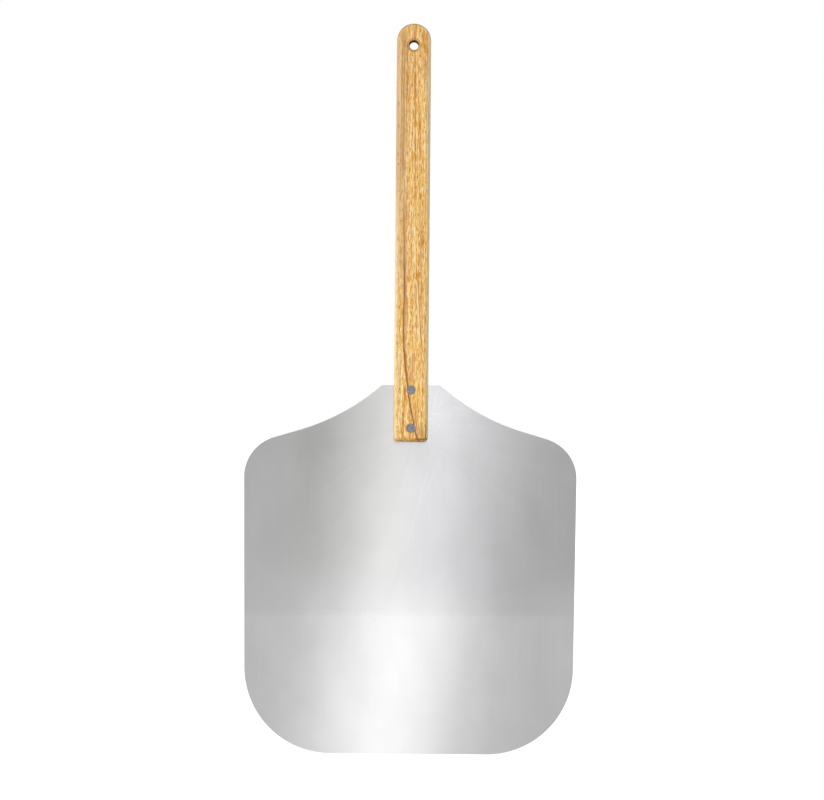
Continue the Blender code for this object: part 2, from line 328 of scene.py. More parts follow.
def rounded_outline(corners):
    """Points round a closed outline whose corners, given as (x, z, radius), are rounded by arcs."""
    points = []
    for index, (x, z, radius) in enumerate(corners):
        corner = Vector((x, z))
        back = Vector(corners[index - 1][:2]) - corner
        ahead = Vector(corners[(index + 1) % len(corners)][:2]) - corner
        back.normalize()
        ahead.normalize()
        half_angle = back.angle(ahead) / 2
        centre = corner + (back + ahead).normalized() * radius / sin(half_angle)
        first = corner + back * radius / tan(half_angle) - centre
        turn = (pi - 2 * half_angle) * (1 if back.cross(ahead) < 0 else -1)
        widest_step = 2 * acos(1 - ARC_TOLERANCE / radius)
        steps = ceil(abs(turn) / widest_step)
        for step in range(steps + 1):
            points.append(centre + Matrix.Rotation(turn * step / steps, 2) @ first)
    return points


def extruded_outline(name, points, thickness):
    curve = bpy.data.curves.new(name, "CURVE")
    curve.dimensions = "2D"
    curve.fill_mode = "BOTH"
    curve.extrude = thickness / 2
    spline = curve.splines.new("POLY")
    spline.points.add(len(points) - 1)
    for point, place in zip(spline.points, points):
        point.co = (place.x, place.y, 0.0, 1.0)
    spline.use_cyclic_u = True
    drawn = new_object(name + "_outline", curve)
    drawn.rotation_euler = (pi / 2, 0.0, 0.0)
    piece = as_mesh(drawn, name)
    join_flat_faces(piece)
    return piece


def turned_piece(name, profile, z=0.0):
    """A shape turned about Y, from (radius, y) points listed down its outer side from its -Y end."""
    mesh = bpy.data.meshes.new(name + "_profile")
    points = [(radius, 0.0, -y) for radius, y in profile]
    mesh.from_pydata(points, [(i, i + 1) for i in range(len(points) - 1)], [])
    drawn = new_object(name + "_profile", mesh)
    drawn.rotation_euler = (pi / 2, 0.0, 0.0)
    drawn.location.z = z
    screw = drawn.modifiers.new("Turn", "SCREW")
    screw.steps = ROUND_STEPS
    screw.render_steps = ROUND_STEPS
    screw.use_merge_vertices = True
    screw.merge_threshold = MERGE_DISTANCE
    return as_mesh(drawn, name)


def turned_cutter(name, side, z=0.0):
    """A turned shape that is the same from both ends, from the (radius, y) points of its -Y half."""
    mirrored = [(radius, -y) for radius, y in reversed(side)]
    return turned_piece(name, side + mirrored, z)


def box_cutter(name, low, high):
    size = [b - a for a, b in zip(low, high)]
    middle = [(a + b) / 2 for a, b in zip(low, high)]
    mesh = bpy.data.meshes.new(name)
    with edited(mesh) as shape:
        bmesh.ops.create_cube(shape, size=1.0)
        bmesh.ops.scale(shape, vec=size, verts=shape.verts)
        bmesh.ops.translate(shape, vec=middle, verts=shape.verts)
    return new_object(name, mesh)


def cut(piece, cutters):
    """Cuts the cutters out of the piece, for good, and removes them. Returns the new piece."""
    name = piece.name
    piece.name = name + "_uncut"
    for cutter in cutters:
        modifier = piece.modifiers.new(cutter.name, "BOOLEAN")
        modifier.operation = "DIFFERENCE"
        modifier.solver = "EXACT"
        modifier.object = cutter
    piece = as_mesh(piece, name)
    for cutter in cutters:
        bpy.data.objects.remove(cutter)
    return piece


def bevel(piece, width, segments, profile, angle):
    """Rounds the piece's edges sharper than the angle, for good. Returns the new piece."""
    name = piece.name
    piece.name = name + "_square"
    edges = piece.modifiers.new("Edges", "BEVEL")
    edges.width = width
    edges.segments = segments
    edges.profile = profile
    edges.limit_method = "ANGLE"
    edges.angle_limit = angle
    edges.use_clamp_overlap = True
    return as_mesh(piece, name)


def shade(piece):
    piece.data.shade_smooth()
    piece.data.set_sharp_from_angle(angle=SHARP_ANGLE)
    normals = piece.modifiers.new("Flat faces stay flat", "WEIGHTED_NORMAL")
    normals.keep_sharp = True


# ---------------------------------------------------------------- blade


def blade_outline():
    # The steep slope is as long as the two arcs at its ends take up.
    steep = TAB_CORNER_RADIUS * tan(SHOULDER_STEEP_SLOPE / 2)
    steep += SHOULDER_RADIUS * tan((SHOULDER_STEEP_SLOPE - SHOULDER_SHALLOW_SLOPE) / 2)
    shoulder_x = TAB_HALF_WIDTH + steep * cos(SHOULDER_STEEP_SLOPE)
    shoulder_depth = steep * sin(SHOULDER_STEEP_SLOPE)
    # The upper corner lies where the shallow slope meets the leaning side.
    rise = tan(SHOULDER_SHALLOW_SLOPE)
    lean = tan(SIDE_LEAN)
    reach = SIDE_HALF_WIDTH + lean * (SIDE_DEPTH - shoulder_depth + rise * shoulder_x)
    upper_x = reach / (1 + lean * rise)
    upper_depth = shoulder_depth + rise * (upper_x - shoulder_x)
    front_x = SIDE_HALF_WIDTH - lean * (BLADE_LENGTH - SIDE_DEPTH)
    top = blade_high.z
    right = [
        (TAB_HALF_WIDTH, top, TAB_CORNER_RADIUS),
        (shoulder_x, top - shoulder_depth, SHOULDER_RADIUS),
        (upper_x, top - upper_depth, UPPER_CORNER_RADIUS),
        (front_x, blade_low.z, FRONT_CORNER_RADIUS),
    ]
    left = [(-x, z, radius) for x, z, radius in reversed(right)]
    return rounded_outline(right + left)


def rivet_places():
    """The name and height of each rivet, read from the frame."""
    places = {}
    for place in ("upper", "lower"):
        low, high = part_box("rivet_" + place + "_stud")
        places[place] = (low.z + high.z) / 2
    return places


def taper_cutter():
    loss = BLADE_THICKNESS - BLADE_EDGE_THICKNESS
    reach = TAPER_LENGTH + CUTTER_OVERRUN
    cutter = box_cutter(
        "taper_cutter",
        (-SIDE_HALF_WIDTH - CUTTER_OVERRUN, -CUTTER_OVERRUN, -reach),
        (SIDE_HALF_WIDTH + CUTTER_OVERRUN, 0.0, reach / 2),
    )
    turn = Matrix.Rotation(atan2(loss, TAPER_LENGTH), 4, "X")
    cutter.data.transform(Matrix.Translation((0.0, blade_low.y, CREASE_Z)) @ turn)
    return cutter


def rivet_hole_cutter(name, z):
    radius = SLEEVE_RADIUS + GAP
    return turned_cutter(name, [(0.0, -BLADE_THICKNESS), (radius, -BLADE_THICKNESS)], z)


def lay_rolling_uv(piece):
    """A UV map whose U runs up the sheet, so that its tangent is the rolling direction."""
    layer = piece.data.uv_layers.new(name="rolling")
    turn = Matrix.Rotation(-ROLLING_LEAN, 2)
    for loop in piece.data.loops:
        place = piece.data.vertices[loop.vertex_index].co
        layer.data[loop.index].uv = turn @ Vector((place.z, place.x))


def make_blade():
    places = rivet_places()
    blade = extruded_outline("blade_sheet", blade_outline(), BLADE_THICKNESS)
    blade = cut(blade, [taper_cutter()])
    blade = bevel(blade, SHEET_EDGE_RADIUS, SHEET_EDGE_SEGMENTS, SHEET_EDGE_PROFILE, SHEET_EDGE_ANGLE)
    divide(blade, places.values())
    blade = cut(blade, [rivet_hole_cutter(place + "_hole", z) for place, z in places.items()])
    shade(blade)
    lay_rolling_uv(blade)
    return blade


# ---------------------------------------------------------------- handle


def handle_outline():
    half = HANDLE_HALF_WIDTH
    return rounded_outline([
        (half, handle_high.z, half),
        (half, handle_low.z, HANDLE_CORNER_RADIUS),
        (-half, handle_low.z, HANDLE_CORNER_RADIUS),
        (-half, handle_high.z, half),
    ])


def slot_cutter():
    half_width = HANDLE_HALF_WIDTH + CUTTER_OVERRUN
    half_gap = BLADE_THICKNESS / 2 + GAP
    return box_cutter(
        "slot",
        (-half_width, -half_gap, handle_low.z - CUTTER_OVERRUN),
        (half_width, half_gap, blade_high.z + SLOT_HEADROOM),
    )


def hanging_hole_cutter():
    face = HANDLE_THICKNESS / 2
    slope = (HOLE_RIM_RADIUS - HOLE_RADIUS) / HOLE_RIM_DEPTH
    outside = face + CUTTER_OVERRUN
    return turned_cutter("hanging_hole", [
        (0.0, -outside),
        (HOLE_RIM_RADIUS + slope * CUTTER_OVERRUN, -outside),
        (HOLE_RADIUS, HOLE_RIM_DEPTH - face),
    ])


def rivet_seat_cutter(name, z):
    seat_radius = RIVET_HEAD_RADIUS + SEAT_GAP
    seat_y = HANDLE_THICKNESS / 2 - RIVET_HEAD_SINK - RIVET_HEAD_THICKNESS - GAP
    outside = HANDLE_THICKNESS / 2 + CUTTER_OVERRUN
    side = [
        (0.0, -outside),
        (seat_radius, -outside),
        (seat_radius, -seat_y),
        (SLEEVE_RADIUS + GAP, -seat_y),
    ]
    return turned_cutter(name, side, z)


def make_handle():
    places = rivet_places()
    handle = extruded_outline("handle_wood", handle_outline(), HANDLE_THICKNESS)
    handle = bevel(handle, HANDLE_EDGE_RADIUS, HANDLE_EDGE_SEGMENTS, HANDLE_EDGE_PROFILE, HANDLE_EDGE_ANGLE)
    divide(handle, [0.0, *places.values()])
    seats = [rivet_seat_cutter(place + "_seat", z) for place, z in places.items()]
    handle = cut(handle, [slot_cutter(), hanging_hole_cutter(), *seats])
    shade(handle)
    return handle


# ---------------------------------------------------------------- rivets


def rounded_rim(radius, y, inward):
    """Points round the rim of a head from its flat face, whose material lies towards inward."""
    rim = []
    for step in range(RIVET_EDGE_STEPS + 1):
        angle = pi / 2 * step / RIVET_EDGE_STEPS
        rim.append((
            radius - RIVET_EDGE_RADIUS * (1 - sin(angle)),
            y + inward * RIVET_EDGE_RADIUS * (1 - cos(angle)),
        ))
    return rim


def sleeve_profile(low_y, high_y, bore_end_y):
    """The tubular half, whose head is in the carrying face."""
    seat = low_y + RIVET_HEAD_THICKNESS
    bore_radius = STUD_RADIUS + GAP
    return [
        (0.0, low_y),
        *rounded_rim(RIVET_HEAD_RADIUS, low_y, 1),
        (RIVET_HEAD_RADIUS, seat),
        (SLEEVE_RADIUS, seat),
        (SLEEVE_RADIUS, high_y),
        (bore_radius, high_y),
        (bore_radius, bore_end_y),
        (0.0, bore_end_y),
    ]


def stud_profile(low_y, high_y):
    """The solid half, whose head is in the underside."""
    seat = high_y - RIVET_HEAD_THICKNESS
    return [
        (0.0, low_y),
        (STUD_RADIUS, low_y),
        (STUD_RADIUS, seat),
        (RIVET_HEAD_RADIUS, seat),
        *reversed(rounded_rim(RIVET_HEAD_RADIUS, high_y, -1)),
        (0.0, high_y),
    ]


def make_rivet(place, z):
    """Both halves of one rivet, as long as the CAD model's, with the nodes that they replace."""
    sleeve_low, sleeve_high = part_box("rivet_" + place + "_sleeve")
    stud_low, stud_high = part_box("rivet_" + place + "_stud")
    profiles = {
        "sleeve": sleeve_profile(sleeve_low.y, sleeve_high.y, stud_low.y - GAP),
        "stud": stud_profile(stud_low.y, stud_high.y),
    }
    halves = []
    for half, profile in profiles.items():
        piece = turned_piece(place + "_rivet_" + half, profile, z)
        shade(piece)
        halves.append((piece, "rivet_" + place + "_" + half))
    return halves


# ---------------------------------------------------------------- node helpers


def colour(red, green, blue):
    """A linear colour from display values."""
    channels = []
    for value in (red, green, blue):
        share = value / 255
        channels.append(share / 12.92 if share <= 0.04045 else ((share + 0.055) / 1.055) ** 2.4)
    return (*channels, 1.0)


class Nodes:
    """A short way to write a node tree: each call adds what it needs and returns its output."""

    def __init__(self, tree):
        self.tree = tree

    def add(self, kind, inputs=(), output=0, **settings):
        node = self.tree.nodes.new(kind)
        for key, value in settings.items():
            setattr(node, key, value)
        items = inputs.items() if isinstance(inputs, dict) else enumerate(inputs)
        for key, value in items:
            self.put(node.inputs[key], value)
        return None if output is None else node.outputs[output]

    def put(self, socket, value):
        if isinstance(value, bpy.types.NodeSocket):
            self.tree.links.new(value, socket)
        elif value is not None:
            socket.default_value = value

    def math(self, operation, a, b=0.0, c=0.0):
        return self.add("ShaderNodeMath", (a, b, c), operation=operation)

    def product(self, *factors):
        result = factors[0]
        for factor in factors[1:]:
            result = self.math("MULTIPLY", result, factor)
        return result

    def distance(self, across, up):
        """How far a place is from where both its coordinates are 0."""
        squares = self.math("ADD", self.product(across, across), self.product(up, up))
        return self.math("SQRT", squares)

    def along_and_across(self, x, z, way):
        """How far a place lies along a direction of length 1, and how far to its side."""
        along = self.math("ADD", self.product(x, way.x), self.product(z, way.y))
        across = self.math("SUBTRACT", self.product(x, way.y), self.product(z, way.x))
        return along, across

    def smooth(self, value, low, high, out_low=0.0, out_high=1.0):
        """Goes smoothly from out_low to out_high as the value goes from low to high."""
        inputs = {"Value": value, "From Min": low, "From Max": high, "To Min": out_low, "To Max": out_high}
        return self.add("ShaderNodeMapRange", inputs, interpolation_type="SMOOTHSTEP")

    def band(self, value, low, high, fade):
        """1 between low and high, fading to 0 within them."""
        start = self.smooth(value, low, low + fade)
        end = self.smooth(value, high - fade, high, 1.0, 0.0)
        return self.product(start, end)

    def line(self, away, half_width):
        """1 on a line, 0 from half_width off it."""
        return self.smooth(self.math("ABSOLUTE", away), 0.0, half_width, 1.0, 0.0)

    def noise(self, vector, scale, detail=2.0, roughness=0.5):
        """Noise over the vector stretched by a scale for each axis, in features a metre."""
        inputs = {
            "Vector": self.add("ShaderNodeVectorMath", (vector, scale), operation="MULTIPLY"),
            "Scale": 1.0,
            "Detail": detail,
            "Roughness": roughness,
        }
        return self.add("ShaderNodeTexNoise", inputs)

    def mix(self, factor, a, b, blend="MIX"):
        """Mixes two colours."""
        inputs = {"Factor": factor, 6: a, 7: b}
        return self.add("ShaderNodeMix", inputs, output=2, data_type="RGBA", blend_type=blend)

    def tinted(self, base, tint, *masks):
        """The base colour, tinted by display values where all the masks are high."""
        return self.mix(self.product(*masks), base, colour(*tint))

    def ramp(self, value, stops):
        """A colour ramp through stops: positions with display values."""
        node = self.tree.nodes.new("ShaderNodeValToRGB")
        elements = node.color_ramp.elements
        while len(elements) < len(stops):
            elements.new(0.5)
        for element, (position, tint) in zip(elements, stops):
            element.position = position
            element.color = colour(*tint)
        self.put(node.inputs[0], value)
        return node.outputs[0]

    def split(self, vector):
        """The three parts of a vector."""
        node = self.tree.nodes.new("ShaderNodeSeparateXYZ")
        self.put(node.inputs[0], vector)
        return tuple(node.outputs)

    def object_place(self):
        return self.add("ShaderNodeTexCoord", output=3)

    def normal(self):
        return self.split(self.add("ShaderNodeNewGeometry", output=1))

    def bump(self, height, strength, distance):
        inputs = {"Strength": strength, "Distance": distance, "Height": height}
        return self.add("ShaderNodeBump", inputs)

    def path_x(self, z, points):
        """The x of a line at each height, from (z, x) points in mm listed upwards."""
        lowest = points[0][0]
        span = points[-1][0] - lowest
        widest = max(abs(x) for _, x in points)
        curve = self.tree.nodes.new("ShaderNodeFloatCurve")
        knots = curve.mapping.curves[0].points
        while len(knots) < len(points):
            knots.new(0.5, 0.5)
        for knot, (height, x) in zip(knots, points):
            knot.location = ((height - lowest) / span, 0.5 + 0.5 * x / widest)
        curve.mapping.update()
        limits = {"Value": z, "From Min": lowest * MM, "From Max": (lowest + span) * MM}
        self.put(curve.inputs["Value"], self.add("ShaderNodeMapRange", limits))
        return self.math("MULTIPLY_ADD", curve.outputs[0], 2 * widest * MM, -widest * MM)


def new_material(name):
    material = bpy.data.materials.new(name)
    material.use_nodes = True
    shader = material.node_tree.nodes["Principled BSDF"]
    return material, Nodes(material.node_tree), shader


# ---------------------------------------------------------------- wood


def wood_figure(nodes, grain):
    """Growth bands, grain, stains and pores. Returns the colour, the streaks and the pores."""
    bands = nodes.noise(grain, (380.0, 380.0, 4.0), detail=3.0, roughness=0.62)
    base = nodes.ramp(bands, GROWTH_BANDS)
    layers = {}
    for name, (across, along, roughness, *marks) in GRAIN_LAYERS.items():
        layers[name] = nodes.noise(grain, (across, across, along), roughness=roughness)
        for start, full, strength, tint in marks:
            base = nodes.tinted(base, tint, nodes.smooth(layers[name], start, full, 0.0, strength))
    stain = nodes.noise(grain, (420.0, 420.0, 14.0))
    base = nodes.tinted(base, WOOD["stain"], nodes.smooth(stain, 0.57, 0.70, 0.0, 0.55))
    pore = nodes.smooth(nodes.noise(grain, (1700.0, 1700.0, 260.0), detail=1.0), 0.63, 0.73)
    base = nodes.tinted(base, WOOD["pore"], pore, 0.6)
    return base, layers["streaks"], pore


def faint_line(nodes, base, tint, wobble, z, points, low, high, half_width, strength):
    off = nodes.math("SUBTRACT", wobble, nodes.path_x(z, points))
    line = nodes.line(off, half_width * MM)
    return nodes.tinted(base, tint, line, nodes.band(z, low * MM, high * MM, LINE_FADE), strength)


def wood_lines(nodes, base, x, z, ripple):
    """One long mineral line crosses the handle between the rivets, and fainter ones run beside it."""
    wobble = nodes.math("MULTIPLY_ADD", ripple, 0.5, x)
    off = nodes.math("SUBTRACT", wobble, nodes.path_x(z, MAIN_VEIN))
    foot = nodes.product(
        nodes.band(off, 0.0, 9.0 * MM, 2.0 * MM),
        nodes.smooth(z, -340.0 * MM, -354.0 * MM),
    )
    base = nodes.tinted(base, WOOD["brown foot"], foot, 0.5)
    beside = nodes.product(
        nodes.band(off, -0.5 * MM, 3.0 * MM, 1.4 * MM),
        nodes.band(z, -320.0 * MM, -110.0 * MM, 50.0 * MM),
    )
    base = nodes.tinted(base, WOOD["beside the vein"], beside, 0.5)
    main = nodes.product(nodes.line(off, 1.3 * MM), nodes.smooth(z, -110.0 * MM, -235.0 * MM))
    base = nodes.tinted(base, WOOD["main vein"], main, 0.92)
    for vein in FINE_VEINS:
        base = faint_line(nodes, base, WOOD["fine vein"], wobble, z, *vein)
    return faint_line(nodes, base, WOOD["pale streak"], wobble, z, *PALE_STREAK)


def sanded_edges(nodes, base, x, z, from_axis):
    """Sanding has left the eased edges paler, and the end grain is a deeper orange. Some edges carry painted
    light and shade.
    """
    normal_x, normal_y, normal_z = nodes.normal()
    off_face = nodes.smooth(nodes.math("ABSOLUTE", normal_x), 0.06, 0.26, 0.0, 0.62)
    beside = nodes.smooth(x, 4.4 * MM - HANDLE_HALF_WIDTH, 3.2 * MM - HANDLE_HALF_WIDTH, 0.0, 0.45)
    eased = nodes.product(
        nodes.math("MAXIMUM", off_face, beside),
        nodes.smooth(nodes.math("ABSOLUTE", normal_y), 0.05, 0.45),
        nodes.smooth(from_axis, HOLE_RIM_RADIUS, HOLE_RIM_RADIUS + 0.5 * MM),
    )
    # Left-facing eased edges in the upper part are darkened: painted shade.
    painted_shade_upper_left = nodes.product(
        nodes.smooth(normal_x, -0.1, -0.4),
        nodes.smooth(z, -180.0 * MM, -100.0 * MM),
    )
    sanded = nodes.mix(painted_shade_upper_left, colour(*WOOD["sanded"]), colour(*WOOD["painted shade upper left"]))
    # Right-facing eased edges are made paler: painted light.
    sanded = nodes.tinted(sanded, WOOD["painted light right"], nodes.smooth(normal_x, 0.1, 0.4))
    base = nodes.mix(eased, base, sanded)
    shadow = nodes.product(
        nodes.line(nodes.math("SUBTRACT", HANDLE_HALF_WIDTH - 3.4 * MM, x), 1.1 * MM),
        nodes.smooth(z, -190.0 * MM, -130.0 * MM, 0.0, 0.5),
    )
    base = nodes.tinted(base, WOOD["edge shadow"], shadow)
    # The lower half of the handle is a little brighter.
    lower = nodes.smooth(z, -110.0 * MM, -260.0 * MM)
    base = nodes.mix(lower, base, (1.05, 1.05, 0.99, 1.0), blend="MULTIPLY")
    end = nodes.smooth(nodes.math("ABSOLUTE", normal_z), 0.20, 0.85)
    return nodes.mix(end, base, (0.80, 0.66, 0.50, 1.0), blend="MULTIPLY")


def handling_marks(nodes, base, place):
    """Handling has darkened the front's right arris, most of all at the foot, and dented the left one."""
    x, y, z = nodes.split(place)
    edge_x = HANDLE_HALF_WIDTH - HANDLE_EDGE_RADIUS
    edge_y = HANDLE_EDGE_RADIUS - HANDLE_THICKNESS / 2
    in_front = nodes.smooth(y, edge_y + 1.0 * MM, edge_y)
    worn = nodes.smooth(nodes.noise(place, (300.0, 300.0, 70.0), detail=3.0), 0.38, 0.55, 0.25, 1.0)
    low_end = nodes.smooth(z, -338.0 * MM, -349.0 * MM)
    right_grime = nodes.product(
        nodes.line(nodes.math("SUBTRACT", edge_x + 0.9 * MM, x), 0.8 * MM),
        nodes.math("MAXIMUM", nodes.product(worn, 0.35), low_end),
        nodes.smooth(z, handle_low.z + 1.5 * MM, handle_low.z + 3.0 * MM),
        in_front,
    )
    foot_grime = nodes.product(
        nodes.line(nodes.math("SUBTRACT", z, handle_low.z + HANDLE_EDGE_RADIUS - 0.3 * MM), 0.9 * MM),
        nodes.smooth(x, 2.0 * MM, 8.0 * MM, 0.30, 1.0),
        in_front,
    )
    base = nodes.tinted(base, WOOD["grime"], nodes.math("MAXIMUM", right_grime, foot_grime))
    dents = nodes.product(
        nodes.line(nodes.math("ADD", edge_x + 0.4 * MM, x), 1.1 * MM),
        nodes.smooth(nodes.noise(place, (300.0, 300.0, 170.0)), 0.56, 0.64, 0.0, 0.6),
        in_front,
    )
    return nodes.tinted(base, WOOD["dent"], dents)


def drilled_hole(nodes, base, from_axis):
    """The hole's rim has a darker outline, and its bore is scorched and darkened by painted shade. Returns
    the colour and the mask of scorch and shade.
    """
    outline = nodes.line(nodes.math("SUBTRACT", from_axis, HOLE_RIM_RADIUS), 0.7 * MM)
    base = nodes.tinted(base, WOOD["rim outline"], outline, 0.55)
    # The bore's dark wall is partly scorch and partly painted shade.
    scorch_and_shade = nodes.smooth(from_axis, HOLE_RADIUS + 0.1 * MM, HOLE_RADIUS + 0.8 * MM, 0.95, 0.0)
    return nodes.tinted(base, WOOD["scorch_and_shade"], scorch_and_shade), scorch_and_shade


def make_wood():
    material, nodes, shader = new_material("oiled_hardwood")
    place = nodes.object_place()
    x, _, z = nodes.split(place)
    # The grain wanders slowly, and ripples a little.
    ramble = nodes.math("MULTIPLY_ADD", nodes.noise(place, (22.0, 22.0, 8.0)), 7.0 * MM, -3.5 * MM)
    ripple = nodes.math("MULTIPLY_ADD", nodes.noise(place, (170.0, 170.0, 50.0)), 1.2 * MM, -0.6 * MM)
    shift = nodes.math("ADD", ramble, ripple)
    offset = nodes.add("ShaderNodeCombineXYZ", (shift, nodes.product(shift, 0.6), 0.0))
    grain = nodes.add("ShaderNodeVectorMath", (place, offset), operation="ADD")
    base, streaks, pore = wood_figure(nodes, grain)
    # The left of the bar is a duller brown, away from the blade.
    dull = nodes.product(
        nodes.smooth(x, -3.0 * MM, -9.0 * MM),
        nodes.smooth(z, -260.0 * MM, -180.0 * MM, 0.0, 0.45),
    )
    base = nodes.tinted(base, WOOD["dull side"], dull)
    base = wood_lines(nodes, base, x, z, ripple)
    from_axis = nodes.distance(x, z)
    base = sanded_edges(nodes, base, x, z, from_axis)
    base = handling_marks(nodes, base, place)
    base, scorch_and_shade = drilled_hole(nodes, base, from_axis)
    nodes.put(shader.inputs["Base Color"], base)

    shader.inputs["Specular IOR Level"].default_value = 0.3
    roughness = nodes.smooth(streaks, 0.35, 0.65, 0.46, 0.60)
    nodes.put(shader.inputs["Roughness"], nodes.math("MAXIMUM", roughness, scorch_and_shade))
    relief = nodes.math("SUBTRACT", streaks, nodes.product(pore, 0.8))
    nodes.put(shader.inputs["Normal"], nodes.bump(relief, 0.5, 0.15 * MM))
    return material


# ---------------------------------------------------------------- aluminium


def hairlines(nodes, x, z, turn, spacing, length):
    """Fine scratches that all run at the same turn from upright."""
    along, across = nodes.along_and_across(x, z, Vector((-sin(turn), cos(turn))))
    place = nodes.add("ShaderNodeCombineXYZ", (across, turn, along))
    level = nodes.noise(place, (1 / spacing, 1.0, 1 / length), detail=0.0)
    line = nodes.line(nodes.math("SUBTRACT", level, 0.5), 0.02)
    patchy = nodes.noise(place, (0.25 / spacing, 7.0, 0.5 / length), detail=1.0)
    return nodes.product(line, nodes.smooth(patchy, 0.52, 0.62))


def long_scratch(nodes, x, z, start, end, half_width):
    """How strongly one straight scratch shows, fading at both ends."""
    run = end - start
    from_x = nodes.math("SUBTRACT", x, start.x)
    from_z = nodes.math("SUBTRACT", z, start.y)
    along, across = nodes.along_and_across(from_x, from_z, run.normalized())
    fade = nodes.band(along, 0.0, run.length, run.length / 3)
    return nodes.product(nodes.line(across, half_width), fade)


def soft_patch(nodes, x, z, centre, half_size):
    """1 at the centre of an upright oval, fading to 0 at its edge."""
    across = nodes.math("DIVIDE", nodes.math("SUBTRACT", x, centre.x), half_size.x)
    up = nodes.math("DIVIDE", nodes.math("SUBTRACT", z, centre.y), half_size.y)
    return nodes.smooth(nodes.distance(across, up), 0.0, 1.0, 1.0, 0.0)


def rolled_tone(nodes, place, lines, fine):
    """The sheet's own evenness: rolling lines, clouds and a fine speckle, about 1."""
    cloud = nodes.noise(place, (35.0, 35.0, 22.0), detail=3.0, roughness=0.55)
    return nodes.product(
        nodes.smooth(lines, 0.3, 0.7, 0.985, 1.01),
        nodes.smooth(cloud, 0.3, 0.7, 0.98, 1.02),
        nodes.smooth(fine, 0.3, 0.7, 0.985, 1.015),
    )


def wiped_rays(nodes, x, z):
    """Wiping has left faint rays that fan out from the handle's foot."""
    away_x = nodes.math("SUBTRACT", x, WIPED_FROM[0])
    away_z = nodes.math("SUBTRACT", z, blade_high.z - WIPED_FROM[1])
    reach = nodes.distance(away_x, away_z)
    bearing = nodes.math("ARCTAN2", away_x, away_z)
    polar = nodes.add("ShaderNodeCombineXYZ", (bearing, reach, 0.0))
    fan = nodes.noise(polar, (7.0, 3.0, 1.0), detail=4.0, roughness=0.62)
    near = nodes.smooth(reach, 220.0 * MM, 60.0 * MM)
    return nodes.product(nodes.smooth(fan, 0.36, 0.66, -0.012, 0.016), near)


def marks_and_painted_reflections(nodes, tone, x, z):
    """Single scratches, patches of painted reflection, and hairlines round the most rubbed place."""
    for start, end, half_width, strength in LONG_SCRATCHES:
        mark = long_scratch(nodes, x, z, Vector(start) * MM, Vector(end) * MM, half_width * MM)
        tone = nodes.math("MULTIPLY_ADD", mark, strength, tone)
    for centre, half_size, strength in PAINTED_REFLECTION_PATCHES:
        patch = soft_patch(nodes, x, z, Vector(centre) * MM, Vector(half_size) * MM)
        tone = nodes.math("MULTIPLY_ADD", patch, strength, tone)
    away_x = nodes.math("SUBTRACT", x, MOST_RUBBED[0])
    away_z = nodes.math("SUBTRACT", z, blade_high.z - MOST_RUBBED[1])
    away = nodes.distance(away_x, away_z)
    rub = nodes.smooth(away, 60.0 * MM, 8.0 * MM, 0.10, 1.0)
    for turn, spacing, length in SCRATCH_SETS:
        mark = nodes.product(hairlines(nodes, x, z, turn, spacing, length), rub)
        tone = nodes.math("MULTIPLY_ADD", mark, 0.10, tone)
    return nodes.math("MULTIPLY_ADD", nodes.smooth(away, 45.0 * MM, 5.0 * MM), 0.035, tone)


def dull_specks(nodes, place, z):
    """Small specks, mostly on the thinned front."""
    cells = nodes.tree.nodes.new("ShaderNodeTexVoronoi")
    nodes.put(cells.inputs["Vector"], place)
    nodes.put(cells.inputs["Scale"], 42.0)
    some = nodes.smooth(nodes.split(cells.outputs["Color"])[0], 0.55, 0.60)
    rough = nodes.noise(place, (900.0, 900.0, 900.0))
    away = nodes.math("MULTIPLY_ADD", rough, 0.05, cells.outputs["Distance"])
    on_front = nodes.smooth(z, CREASE_Z + 20.0 * MM, CREASE_Z - 20.0 * MM, 0.2, 1.0)
    return nodes.product(nodes.smooth(away, 0.05, 0.09, 1.0, 0.0), some, on_front)


